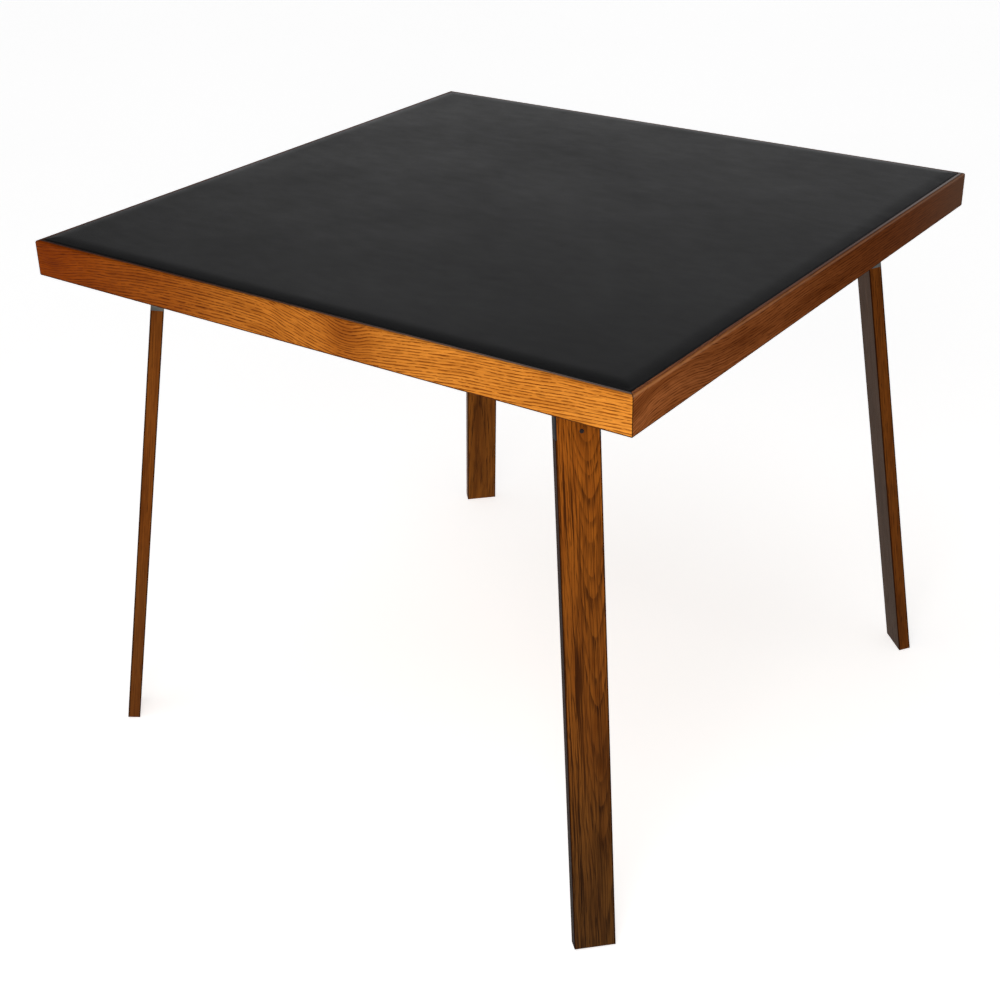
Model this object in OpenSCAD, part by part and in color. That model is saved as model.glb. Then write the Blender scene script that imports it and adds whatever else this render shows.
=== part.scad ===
// Folding card table: square oak rim, padded black top, four flat legs that
// lean outwards and fold one by one under the top along its diagonals.
// Units are millimetres. Origin: on the floor, below the middle of the top.
// +X runs along the front rim, +Y from the front rim to the back rim, +Z up.
// Each corner is drawn in its own frame: X outwards along the diagonal,
// Y to the left of X seen from above, Z up.

/* [Top] */
// Side of the square top, over the rim
table_side = 864; // [800:2:960]
// Height of the rim's top edge above the floor
rim_top = 728; // [690:1:760]

/* [Rim] */
// Height of the rim
rim_height = 46; // [46:1:60]
// Thickness of a rim rail
rim_thick = 19; // [17:0.5:24]
// Width of the rim's lip beside the padded top
rim_lip = 7; // [5:0.5:9]
// Radius of the rim's outer top edge
rim_round = 3; // [1:0.5:4]
// Radius of the rim's smaller edges
rim_ease = 1; // [0.5:0.25:1.5]

/* [Padded top] */
// How far the pad stands above the rim
pad_rise = 3.3; // [2:0.1:4.5]
// Thickness of the board
board_thick = 9; // [8:0.5:10]
// Thickness of the foam
foam_thick = 4.5; // [4:0.5:5]
// Thickness of the vinyl cover
vinyl_thick = 0.8; // [0.6:0.1:1]
// Width of the vinyl that is turned under the board
wrap_width = 25; // [20:1:30]
// Width over which the pad's edge falls away
crown_width = 15; // [12:1:30]
// How much the pad's edge falls
crown_drop = 3.4; // [1.5:0.1:3.4]

/* [Legs] */
// Width of a leg
leg_width = 50; // [44:1:51]
// Thickness of a leg
leg_thick = 17; // [16:0.5:19]
// Outward lean of a leg, in degrees
leg_lean = 9.55; // [7:0.05:11]
// Sideways shift of a leg from the diagonal
leg_shift = 26; // [26:0.5:28]
// Distance of a leg's pivot from the middle of the top
pivot_radius = 460; // [440:1:466]
// Depth of a leg's pivot below the rim's top edge
pivot_drop = 25; // [25:0.1:26]

/* [Leg hardware] */
// Steel thickness of a leg bracket
bracket_steel = 1.6; // [1.2:0.1:1.6]
// Length of a leg bracket below its pivot
bracket_length = 82; // [80:1:110]
// Steel thickness of a hinge base
base_steel = 2; // [1.6:0.1:2]
// Half width of a hinge base
base_half = 40; // [38:0.5:42]
// Diameter of a pivot bolt
pin_d = 8; // [6:0.5:8]
// Distance from pivot to the lower leg screw
screw_low = 73.8; // [65:0.1:76]
// Distance from pivot to the upper leg screw
screw_high = 38; // [36:0.5:44]

/* [Hidden] */
$fn = 64;

// Corner directions, in degrees from +X
FL = -135; FR = -45; BR = 45; BL = 135;
CORNERS = [FL, FR, BR, BL];

half = table_side / 2;
rim_bottom = rim_top - rim_height;
pad_top = rim_top + pad_rise;
foam_top = pad_top - vinyl_thick;
board_top = foam_top - foam_thick;
board_bottom = board_top - board_thick;
cover_bottom = board_bottom - vinyl_thick;
inner_half = half - rim_thick;
cover_half = half - rim_lip - 0.2;
board_half = cover_half - vinyl_thick;
inner_diag = inner_half * sqrt(2);

pivot_z = rim_top - pivot_drop;
half_t = leg_thick / 2;
leg_length = (pivot_z - half_t * sin(leg_lean)) / cos(leg_lean);
pin_r = pin_d / 2;

// Sideways layers at a hinge, measured from the middle of the leg
cheek_in = leg_width / 2 - bracket_steel;
cheek_out = leg_width / 2;
base_in = cheek_out + 0.6;
base_out = base_in + base_steel;

// Planes parallel to the leg's faces, measured outwards from the pivot
stop_plane = half_t + 0.05;
flange_in = half_t + 0.6;
flange_out = flange_in + base_steel;
brace_plane = flange_out + 0.05;
hardware_low = rim_bottom + 2.5;
catch_s = 13;
catch_r = 2.8;
leaf_h = 9;
leaf_t = 0.8;

// Distance from the middle, at height z, of the leaning plane at offset o
function plane_r(o, z) = pivot_radius + o / cos(leg_lean) + tan(leg_lean) * (pivot_z - z);

catch_x = pivot_radius + catch_s * sin(leg_lean);
catch_z = pivot_z - catch_s * cos(leg_lean);
base_front = pivot_radius - 30;
leaf_z = hardware_low + 0.2 + leaf_h / 2;
rivet_x = base_front + 8;

brace_top = cover_bottom - 0.1;
brace_low = rim_bottom + 2;
brace_back = pivot_radius + 34;

// Positions of screws, in a corner's frame
plate_screw_y = base_half - 5.5;
PLATE_SCREWS = [for (x = [base_front + 8, base_front + 27]) for (s = [-1, 1]) [x, -leg_shift + s * plate_screw_y]];
PANEL_SCREWS = [for (y = [-45, 45]) [pivot_radius + 26, y]];
brace_screw_y = 85;
brace_screw_t = (inner_diag - (pivot_radius + 20) - brace_screw_y) / 2;
brace_screw_hold = 16;
// Distance below the pivot and from the leg's middle
LEG_SCREWS = [[screw_low, 4], [screw_high, -4]];

STAPLES = [for (i = [-7:7]) i * 50 * table_side / 864];

// ---------- helpers ----------
module at_corner(a) { rotate([0, 0, a]) children(); }

// A leg's frame: X out of its outer face, Y across its width, Z up its axis
module in_leg(a) {
    at_corner(a) translate([pivot_radius, -leg_shift, pivot_z]) rotate([0, -leg_lean, 0]) children();
}

// Cylinder along Y from y0 to y1
module bar_y(r, y0, y1) { translate([0, y0, 0]) rotate([-90, 0, 0]) cylinder(r = r, h = y1 - y0); }

// Cylinder along X from x0 to x1
module bar_x(r, x0, x1) { translate([x0, 0, 0]) rotate([0, 90, 0]) cylinder(r = r, h = x1 - x0); }

// Extrude a profile drawn in X and Z along Y from y0 to y1
module along_y(y0, y1) { translate([0, y1, 0]) rotate([90, 0, 0]) linear_extrude(height = y1 - y0) children(); }

// What a round edge of radius r leaves out of a square corner at the origin
module edge_cut(r) { difference() { translate([-0.5, -0.5]) square(r + 0.5); translate([r, r]) circle(r); } }

// A screw along +Z: a low head below z = 0 and a shank above it
module screw(head_r, head_h, shank_r, length) {
    translate([0, 0, -head_h * 0.35]) cylinder(r = head_r, h = head_h * 0.35);
    translate([0, 0, -head_h]) cylinder(r1 = head_r * 0.62, r2 = head_r, h = head_h * 0.65 + 0.001);
    cylinder(r = shank_r, h = length - 1.6);
    translate([0, 0, length - 1.6]) cylinder(r1 = shank_r, r2 = 0.5, h = 1.6);
}

module screw_hole(shank_r, length) { translate([0, 0, -1]) cylinder(r = shank_r + 0.1, h = length + 1.1); }

// A screw that joins a brace's end to the rail beside it
module at_brace_screw(s) {
    translate([pivot_radius + 20 + brace_screw_t, s * (brace_screw_y + brace_screw_t), (brace_top + brace_low) / 2])
        rotate([0, 0, s * 45]) translate([-brace_screw_hold, 0, 0]) rotate([0, 90, 0]) children();
}

// A screw that joins a hinge base's flange to its brace
module at_flange_screw(a, s) {
    in_leg(a) translate([flange_in, s * plate_screw_y, -3]) rotate([0, 90, 0]) children();
}

// ---------- rim ----------
module rail_profile() {
    difference() {
        translate([-half, rim_bottom]) square([rim_thick, rim_height]);
        translate([-half + rim_lip, cover_bottom]) square([rim_thick, rim_height]);
        translate([-half, rim_top]) mirror([0, 1]) edge_cut(rim_round);
        translate([-half, rim_bottom]) edge_cut(rim_round * 0.7);
        translate([-half + rim_lip, rim_top]) mirror([1, 1]) mirror([0, 1]) mirror([1, 0]) edge_cut(rim_ease);
        translate([-half + rim_thick, rim_bottom]) mirror([1, 0]) edge_cut(rim_ease);
    }
}

// The front rail, mitred at both ends; the others are turned copies
module rail(turn) {
    color([0.72, 0.42, 0.16]) difference() {
        rotate([0, 0, turn]) intersection() {
            rotate([90, 0, 90]) linear_extrude(height = table_side, center = true) rail_profile();
            translate([0, 0, rim_bottom - 1]) linear_extrude(height = rim_height + 2)
                polygon([[-half, -half], [half, -half], [0, 0]]);
        }
        for (a = CORNERS) for (s = [-1, 1]) at_corner(a) at_brace_screw(s) screw_hole(2, brace_screw_hold + 14);
    }
}

// ---------- padded top ----------
// A square block whose top edges fall away
module pad_block(h, z0, z1) {
    difference() {
        translate([-h, -h, z0]) cube([2 * h, 2 * h, z1 - z0]);
        for (k = [0:3]) rotate([0, 0, 90 * k])
            translate([h, 0, z1 - crown_drop]) rotate([0, -atan(crown_width / crown_drop), 0])
                translate([0, -h - 10, -5]) cube([crown_width, 2 * h + 20, 2 * crown_width]);
    }
}

module panel_board() {
    color([0.62, 0.5, 0.34]) difference() {
        translate([-board_half, -board_half, board_bottom]) cube([2 * board_half, 2 * board_half, board_thick]);
        for (a = CORNERS) at_corner(a) {
            for (p = PLATE_SCREWS) translate([p[0], p[1], board_bottom - base_steel]) screw_hole(1.75, 9);
            for (p = PANEL_SCREWS) translate([p[0], p[1], board_bottom - 14]) screw_hole(2, 21);
        }
    }
}

module foam_pad() {
    color([0.85, 0.83, 0.74]) pad_block(board_half, board_top, foam_top);
}

module vinyl_cover() {
    color([0.12, 0.12, 0.13]) difference() {
        pad_block(cover_half, cover_bottom, pad_top);
        pad_block(board_half, board_bottom, foam_top);
        translate([-board_half + wrap_width, -board_half + wrap_width, cover_bottom - 1])
            cube([2 * (board_half - wrap_width), 2 * (board_half - wrap_width), 3]);
    }
}

module cover_staples() {
    color([0.7, 0.7, 0.72]) for (k = [0:3]) rotate([0, 0, 90 * k]) for (y = STAPLES)
        translate([board_half - wrap_width + 7, y, cover_bottom]) {
            translate([-0.5, -5, -0.5]) cube([1, 10, 0.5]);
            for (s = [-1, 1]) translate([-0.5, s * 4.7 - 0.3, -0.1]) cube([1, 0.6, 6.1]);
        }
}

// ---------- corner braces ----------
module brace(a) {
    color([0.5, 0.3, 0.14]) at_corner(a) difference() {
        intersection() {
            along_y(-150, 150) polygon([
                [plane_r(brace_plane, brace_low), brace_low], [brace_back, brace_low],
                [brace_back, brace_top], [plane_r(brace_plane, brace_top), brace_top]
            ]);
            translate([0, 0, rim_bottom]) linear_extrude(height = rim_height)
                polygon([[inner_diag, 0], [inner_diag - 300, 300], [inner_diag - 300, -300]]);
        }
        for (s = [-1, 1]) at_brace_screw(s) {
            screw_hole(2, 40);
            translate([0, 0, -30]) cylinder(r = 4.6, h = 30);
        }
        for (p = PANEL_SCREWS) translate([p[0], p[1], 0]) {
            translate([0, 0, brace_low]) cylinder(r = 2.1, h = 60);
            translate([0, 0, brace_low - 1]) cylinder(r = 4.6, h = board_bottom - 14 - brace_low + 1);
        }
        for (s = [-1, 1]) translate([pivot_radius, -leg_shift, pivot_z]) rotate([0, -leg_lean, 0])
            translate([flange_in, s * plate_screw_y, -3]) rotate([0, 90, 0]) screw_hole(1.75, 16);
    }
}

module brace_screws() {
    color([0.75, 0.73, 0.66]) for (a = CORNERS) for (s = [-1, 1])
        at_corner(a) at_brace_screw(s) screw(4.2, 2.4, 2, brace_screw_hold + 13.5);
}

module panel_screws() {
    color([0.75, 0.73, 0.66]) for (a = CORNERS) at_corner(a) for (p = PANEL_SCREWS)
        translate([p[0], p[1], board_bottom - 14]) screw(4.2, 2.4, 2, 20.5);
}

// ---------- hinge bases ----------
// A steel angle under the board and against the brace, with two cheeks
module hinge_base(a) {
    color([0.42, 0.43, 0.44]) at_corner(a) translate([0, -leg_shift, 0]) difference() {
        union() {
            along_y(-base_half, base_half) polygon([
                [base_front, board_bottom], [base_front, board_bottom - base_steel],
                [plane_r(flange_in, board_bottom - base_steel), board_bottom - base_steel],
                [plane_r(flange_in, hardware_low), hardware_low],
                [plane_r(flange_out, hardware_low), hardware_low],
                [plane_r(flange_out, board_bottom), board_bottom]
            ]);
            for (s = [-1, 1]) along_y(s > 0 ? base_in : -base_out, s > 0 ? base_out : -base_in) polygon([
                [base_front, board_bottom - 1], [base_front, hardware_low + 4],
                [base_front + 4, hardware_low], [plane_r(flange_in + 1, hardware_low), hardware_low],
                [plane_r(flange_in + 1, board_bottom - 1), board_bottom - 1]
            ]);
            // Pad that the open leg leans on
            translate([pivot_radius, 0, pivot_z]) rotate([0, -leg_lean, 0])
                translate([stop_plane, -20, -18]) cube([flange_in - stop_plane + 0.5, 40, 9]);
        }
        translate([pivot_radius, 0, pivot_z]) bar_y(pin_r + 0.05, -60, 60);
        translate([catch_x, 0, catch_z]) bar_y(catch_r + 0.3, 0, 60);
        translate([rivet_x, 0, leaf_z]) bar_y(1.7, 0, 60);
        for (x = [base_front + 8, base_front + 27]) for (s = [-1, 1])
            translate([x, s * plate_screw_y, board_bottom - 5]) cylinder(r = 1.9, h = 8);
        for (s = [-1, 1]) translate([pivot_radius, 0, pivot_z]) rotate([0, -leg_lean, 0])
            translate([flange_in - 2, s * plate_screw_y, -3]) bar_x(1.9, 0, 8);
    }
}

module base_plate_screws() {
    color([0.75, 0.73, 0.66]) for (a = CORNERS) at_corner(a) for (p = PLATE_SCREWS)
        translate([p[0], p[1], board_bottom - base_steel]) screw(3.4, 2, 1.75, 8.5);
}

module base_flange_screws() {
    color([0.75, 0.73, 0.66]) for (a = CORNERS) for (s = [-1, 1]) at_flange_screw(a, s) screw(3.4, 2, 1.75, 15);
}

module pivot_bolts() {
    color([0.6, 0.6, 0.6]) for (a = CORNERS) at_corner(a) translate([pivot_radius, -leg_shift, pivot_z]) {
        bar_y(pin_r, -base_out, base_out + 7.5);
        bar_y(7, -base_out - 0.9, -base_out);
        translate([0, -base_out - 0.9, 0]) rotate([90, 0, 0]) cylinder(r1 = 7, r2 = 4.4, h = 1.5);
    }
}

module pivot_nuts() {
    color([0.6, 0.6, 0.6]) for (a = CORNERS) at_corner(a) translate([pivot_radius, -leg_shift, pivot_z]) difference() {
        translate([0, base_out, 0]) rotate([-90, 0, 0]) cylinder(r = 7.4, h = 6, $fn = 6);
        bar_y(pin_r + 0.05, base_out - 1, base_out + 8);
    }
}

module spring_washers() {
    color([0.55, 0.55, 0.56]) for (a = CORNERS) at_corner(a) translate([pivot_radius, -leg_shift, pivot_z])
        for (s = [-1, 1]) difference() {
            bar_y(7.8, s > 0 ? cheek_out + 0.12 : -base_in, s > 0 ? base_in : -cheek_out - 0.12);
            bar_y(pin_r + 0.15, -60, 60);
        }
}

// A leaf spring outside one cheek; its button locks the open leg
module catch_spring(a) {
    color([0.5, 0.5, 0.52]) at_corner(a) translate([0, -leg_shift, 0]) {
        difference() {
            translate([base_front + 2, base_out, leaf_z - leaf_h / 2]) cube([pivot_radius + 6.5 - base_front - 2, leaf_t, leaf_h]);
            translate([rivet_x, 0, leaf_z]) bar_y(1.7, 0, 60);
        }
        // Lip for a finger
        translate([pivot_radius - 6, base_out, leaf_z - leaf_h / 2]) cube([12.5, 6, leaf_t]);
        // Button, through the base's cheek and into the leg bracket's
        translate([catch_x, 0, catch_z]) bar_y(catch_r, cheek_in + 1, base_out + 0.1);
        translate([catch_x, cheek_in + 1, catch_z]) rotate([90, 0, 0]) cylinder(r1 = catch_r, r2 = catch_r - 0.5, h = 0.6);
    }
}

module catch_rivets() {
    color([0.6, 0.6, 0.6]) for (a = CORNERS) at_corner(a) translate([rivet_x, -leg_shift, leaf_z]) {
        bar_y(1.6, base_in, base_out + leaf_t);
        bar_y(2.8, base_out + leaf_t, base_out + leaf_t + 0.5);
        translate([0, base_out + leaf_t + 0.5, 0]) rotate([-90, 0, 0]) cylinder(r1 = 2.8, r2 = 1.6, h = 0.6);
    }
}

// Rubber buttons under the board, for the two legs that fold first
module leg_bumpers() {
    color([0.1, 0.1, 0.1]) for (a = [FL, BR]) at_corner(a) translate([-235, -leg_shift, pivot_z + half_t + 0.15]) {
        cylinder(r1 = 7, r2 = 8, h = 1);
        translate([0, 0, 1]) cylinder(r = 8, h = board_bottom - pivot_z - half_t - 1.15);
    }
}

// ---------- legs ----------
module leg(a) {
    color([0.42, 0.24, 0.1]) in_leg(a) difference() {
        union() {
            translate([-half_t, -leg_width / 2, -leg_length]) cube([leg_thick, leg_width, leg_length]);
            bar_y(half_t, -leg_width / 2, leg_width / 2);
        }
        // Seat that the bracket is let into
        translate([-half_t - 1, -leg_width, -bracket_length])
            cube([bracket_steel + 1, 2 * leg_width, bracket_length + leg_thick]);
        for (s = [-1, 1]) translate([-leg_thick, s > 0 ? cheek_in : -leg_width, -bracket_length])
            cube([2 * leg_thick, leg_width - cheek_in, bracket_length + leg_thick]);
        bar_y(pin_r + 0.2, -leg_width, leg_width);
        for (p = LEG_SCREWS) translate([0, p[1], -p[0]]) {
            bar_x(1.8, -leg_thick, leg_thick);
            bar_x(2.5, half_t - 13, leg_thick);
        }
    }
}

// A steel channel, flush with the leg's narrow sides and inner face
module leg_bracket(a) {
    color([0.45, 0.46, 0.46]) in_leg(a) difference() {
        union() {
            for (s = [-1, 1]) {
                translate([0, s > 0 ? cheek_in : -cheek_out, 0]) {
                    translate([-half_t, 0, -bracket_length]) cube([leg_thick, bracket_steel, bracket_length]);
                    bar_y(half_t, 0, bracket_steel);
                }
            }
            translate([-half_t, -cheek_out, -bracket_length]) cube([bracket_steel, 2 * cheek_out, bracket_length]);
        }
        bar_y(pin_r + 0.05, -leg_width, leg_width);
        translate([0, 0, -catch_s]) bar_y(catch_r + 0.3, cheek_in - 0.2, leg_width);
        for (p = LEG_SCREWS) translate([0, p[1], -p[0]]) bar_x(1.8, -leg_thick, 0);
    }
}

module leg_screws(a) {
    color([0.6, 0.6, 0.6]) in_leg(a) for (p = LEG_SCREWS)
        translate([-half_t, p[1], -p[0]]) rotate([0, 90, 0]) screw(4, 1.7, 1.6, leg_thick - 4);
}

module barrel_nuts(a) {
    color([0.22, 0.2, 0.19]) in_leg(a) for (p = LEG_SCREWS) translate([0, p[1], -p[0]]) difference() {
        union() {
            bar_x(2.4, half_t - 12.5, half_t);
            translate([half_t, 0, 0]) rotate([0, 90, 0]) cylinder(r1 = 2.4, r2 = 1.4, h = 0.5);
        }
        bar_x(1.65, half_t - 14, half_t - 3);
    }
}

rail(0);  // rail_front
rail(90);  // rail_right
rail(180);  // rail_back
rail(270);  // rail_left
panel_board();
foam_pad();
vinyl_cover();
cover_staples();
brace(FL);  // brace_front_left
brace(FR);  // brace_front_right
brace(BR);  // brace_back_right
brace(BL);  // brace_back_left
brace_screws();
panel_screws();
hinge_base(FL);  // hinge_base_front_left
hinge_base(FR);  // hinge_base_front_right
hinge_base(BR);  // hinge_base_back_right
hinge_base(BL);  // hinge_base_back_left
base_plate_screws();
base_flange_screws();
pivot_bolts();
pivot_nuts();
spring_washers();
catch_spring(FL);  // catch_spring_front_left
catch_spring(FR);  // catch_spring_front_right
catch_spring(BR);  // catch_spring_back_right
catch_spring(BL);  // catch_spring_back_left
catch_rivets();
leg_bumpers();
leg(FL);  // leg_front_left
leg(FR);  // leg_front_right
leg(BR);  // leg_back_right
leg(BL);  // leg_back_left
leg_bracket(FL);  // leg_bracket_front_left
leg_bracket(FR);  // leg_bracket_front_right
leg_bracket(BR);  // leg_bracket_back_right
leg_bracket(BL);  // leg_bracket_back_left
leg_screws(FL);  // leg_screws_front_left
leg_screws(FR);  // leg_screws_front_right
leg_screws(BR);  // leg_screws_back_right
leg_screws(BL);  // leg_screws_back_left
barrel_nuts(FL);  // barrel_nuts_front_left
barrel_nuts(FR);  // barrel_nuts_front_right
barrel_nuts(BR);  // barrel_nuts_back_right
barrel_nuts(BL);  // barrel_nuts_back_left
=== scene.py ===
import math

import bmesh
import bpy
import numpy as np
from mathutils import Matrix, Vector, noise


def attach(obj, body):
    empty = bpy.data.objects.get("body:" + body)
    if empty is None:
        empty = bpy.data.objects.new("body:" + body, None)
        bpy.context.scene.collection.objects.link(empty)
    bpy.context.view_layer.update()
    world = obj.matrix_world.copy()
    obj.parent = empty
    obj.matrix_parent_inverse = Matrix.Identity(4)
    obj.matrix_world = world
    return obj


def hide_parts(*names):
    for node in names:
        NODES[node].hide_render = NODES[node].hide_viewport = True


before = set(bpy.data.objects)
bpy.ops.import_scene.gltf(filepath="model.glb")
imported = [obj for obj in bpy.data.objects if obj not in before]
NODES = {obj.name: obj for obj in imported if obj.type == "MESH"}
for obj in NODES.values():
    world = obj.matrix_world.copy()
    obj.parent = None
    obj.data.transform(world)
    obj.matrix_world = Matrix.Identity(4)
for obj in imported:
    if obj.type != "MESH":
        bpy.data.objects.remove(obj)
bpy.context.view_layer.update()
scene = bpy.context.scene

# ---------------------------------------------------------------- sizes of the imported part, in metres
HALF = 0.432
RIM_TOP, RIM_BOTTOM = 0.728, 0.682
PAD_TOP, PAD_LOW = 0.7313, 0.7162
COVER_HALF, BOARD_HALF = 0.4248, 0.424
BOARD_LOW = 0.717
PIVOT_R, PIVOT_Z, SHIFT = 0.460, 0.703, 0.026
LEAN = math.radians(9.55)
LEG_W, LEG_T = 0.050, 0.017
CORNERS = {"front_left": -135, "front_right": -45, "back_right": 45, "back_left": 135}
LEG_BODY = {c: c + "_leg" for c in CORNERS}


# ---------------------------------------------------------------- camera
def make_camera():
    """The photograph's camera: its turn as an axis times an angle, and its place in units of the top's side."""
    turn, place, side = Vector((1.989811, 0.617958, -0.39688)), Vector((0.028678, -0.441632, 2.460598)), 0.864
    rows = Matrix.Rotation(turn.length, 3, turn.normalized())
    at = -(rows.transposed() @ place) * side + Vector((0, 0, RIM_TOP))
    right, down, ahead = rows[0], rows[1], rows[2]
    cam = bpy.data.objects.new("camera", bpy.data.cameras.new("camera"))
    scene.collection.objects.link(cam)
    m = Matrix.Identity(4)
    for i in range(3):
        m[i][0], m[i][1], m[i][2], m[i][3] = right[i], -down[i], -ahead[i], at[i]
    cam.matrix_world = m
    cam.data.sensor_width = 36
    cam.data.lens = 1643.236 * 36 / 1000
    cam.data.clip_start, cam.data.clip_end = 0.05, 200
    scene.camera = cam
    return cam


# ---------------------------------------------------------------- node trees
class Mat:
    """A node material. Values may be numbers, colours or other nodes' sockets."""

    def __init__(self, name, **fixed):
        self.m = bpy.data.materials.new(name)
        self.m.use_nodes = True
        self.t = self.m.node_tree
        self.t.nodes.clear()
        out = self.t.nodes.new("ShaderNodeOutputMaterial")
        self.b = self.t.nodes.new("ShaderNodeBsdfPrincipled")
        self.t.links.new(self.b.outputs[0], out.inputs[0])
        for k, v in fixed.items():
            self.b.inputs[k.replace("_", " ")].default_value = v

    def put(self, sock, v):
        if isinstance(v, bpy.types.NodeSocket):
            self.t.links.new(v, sock)
        elif isinstance(v, (tuple, list)) and len(v) == 3 and sock.type == "RGBA":
            sock.default_value = (*v, 1)
        else:
            sock.default_value = v

    def set(self, **ins):
        for k, v in ins.items():
            self.put(self.b.inputs[k.replace("_", " ")], v)

    def node(self, kind, ins=None, **props):
        n = self.t.nodes.new("ShaderNode" + kind)
        for k, v in props.items():
            setattr(n, k, v)
        for k, v in (ins or {}).items():
            self.put(n.inputs[k], v)
        return n

    def math(self, op, *a, clamp=False):
        n = self.node("Math", operation=op, use_clamp=clamp)
        for i, v in enumerate(a):
            self.put(n.inputs[i], v)
        return n.outputs[0]

    def add(self, a, b): return self.math("ADD", a, b)
    def sub(self, a, b): return self.math("SUBTRACT", a, b)
    def mul(self, a, b): return self.math("MULTIPLY", a, b)

    def total(self, *a):
        s = a[0]
        for x in a[1:]:
            s = self.add(s, x)
        return s

    def mix(self, f, a, b, how="MIX"):
        n = self.node("Mix", data_type="RGBA", blend_type=how, clamp_factor=True)
        self.put(n.inputs[0], f)
        self.put(n.inputs[6], a)
        self.put(n.inputs[7], b)
        return n.outputs[2]

    def step(self, v, lo, hi, out_lo=0.0, out_hi=1.0, kind="SMOOTHSTEP"):
        n = self.node("MapRange", interpolation_type=kind)
        for k, x in zip(("Value", "From Min", "From Max", "To Min", "To Max"), (v, lo, hi, out_lo, out_hi)):
            self.put(n.inputs[k], x)
        return n.outputs[0]

    def curve(self, v, lo, hi, points):
        """A smooth curve of v; points are (v, value) pairs."""
        values = [p[1] for p in points]
        b, t = min(values), max(values)
        span = (t - b) or 1.0
        x = self.math("DIVIDE", self.sub(v, lo), hi - lo, clamp=True)
        n = self.node("FloatCurve", {"Value": x})
        c = n.mapping.curves[0]
        flat = [((p[0] - lo) / (hi - lo), (p[1] - b) / span) for p in points]
        while len(c.points) < len(flat):
            c.points.new(0.5, 0.5)
        for q, (x0, y0) in zip(c.points, flat):
            q.location = (x0, y0)
            q.handle_type = "AUTO"
        n.mapping.update()
        return self.add(self.mul(n.outputs[0], span), b)

    def ramp(self, f, stops, how="LINEAR"):
        n = self.node("ValToRGB", {"Fac": f})
        r = n.color_ramp
        r.interpolation = how
        while len(r.elements) < len(stops):
            r.elements.new(0.5)
        for e, (p, c) in zip(r.elements, stops):
            e.position = p
            e.color = (*c, 1) if isinstance(c, tuple) else (c, c, c, 1)
        return n.outputs["Color"]

    def coords(self, rot=None, loc=(0, 0, 0), scale=(1, 1, 1), of=None):
        src = of if of is not None else self.node("TexCoord").outputs["Object"]
        n = self.node("Mapping", {"Vector": src, "Location": loc, "Scale": scale})
        if rot is not None:
            n.inputs["Rotation"].default_value = rot.to_euler("XYZ")
        return n.outputs[0]

    def split(self, v):
        n = self.node("SeparateXYZ", {0: v})
        return n.outputs[0], n.outputs[1], n.outputs[2]

    def join(self, x, y, z):
        n = self.node("CombineXYZ")
        for i, q in enumerate((x, y, z)):
            self.put(n.inputs[i], q)
        return n.outputs[0]

    def noise(self, vec, scale=1.0, detail=2.0, rough=0.5, distort=0.0, colour=False):
        n = self.node("TexNoise", {"Vector": vec, "Scale": scale, "Detail": detail, "Roughness": rough, "Distortion": distort})
        return n.outputs["Color" if colour else "Fac"]

    def noise1(self, w, scale=1.0, detail=1.0, rough=0.5):
        n = self.node("TexNoise", noise_dimensions="1D")
        for k, x in (("W", w), ("Scale", scale), ("Detail", detail), ("Roughness", rough)):
            self.put(n.inputs[k], x)
        return n.outputs["Fac"]

    def cells(self, vec, scale, feature="F1", smooth=None, random=1.0):
        n = self.node("TexVoronoi", {"Vector": vec, "Scale": scale, "Randomness": random}, feature=feature)
        if smooth is not None:
            n.inputs["Smoothness"].default_value = smooth
        return n.outputs[0]

    def bump(self, height, distance, strength=1.0, normal=None):
        n = self.node("Bump", {"Height": height, "Distance": distance, "Strength": strength})
        if normal is not None:
            self.put(n.inputs["Normal"], normal)
        return n.outputs[0]


def lin(r, g, b):
    """A screen colour, 0 to 255, as the light it stands for."""
    def one(c):
        c /= 255
        return c / 12.92 if c <= 0.04045 else ((c + 0.055) / 1.055) ** 2.4
    return (one(r), one(g), one(b))


# ---------------------------------------------------------------- places
def rail_frame(turn):
    """Rotation and shift into a rail's own frame: x along it, y up its face, z out of it."""
    back = Matrix.Rotation(-math.radians(turn), 3, "Z")
    m = Matrix(((1, 0, 0), (0, 0, 1), (0, -1, 0))) @ back
    return m, Vector((0, -(RIM_TOP + RIM_BOTTOM) / 2, -HALF))


def leg_matrix(corner):
    """A leg's frame in the row frame: X out of its outer face, Y across it, Z up its axis, origin at its pivot."""
    a = math.radians(CORNERS[corner])
    return (Matrix.Rotation(a, 4, "Z") @ Matrix.Translation((PIVOT_R, -SHIFT, PIVOT_Z))
            @ Matrix.Rotation(-LEAN, 4, "Y"))


def leg_frame(corner):
    """Rotation and shift into a leg's board frame: x down it, y across it, z out of its outer face."""
    inv = leg_matrix(corner).inverted()
    turn = Matrix(((0, 0, -1), (0, 1, 0), (1, 0, 0)))
    return turn @ inv.to_3x3(), turn @ inv.to_translation() + Vector((0, 0, -LEG_T / 2))


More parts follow.
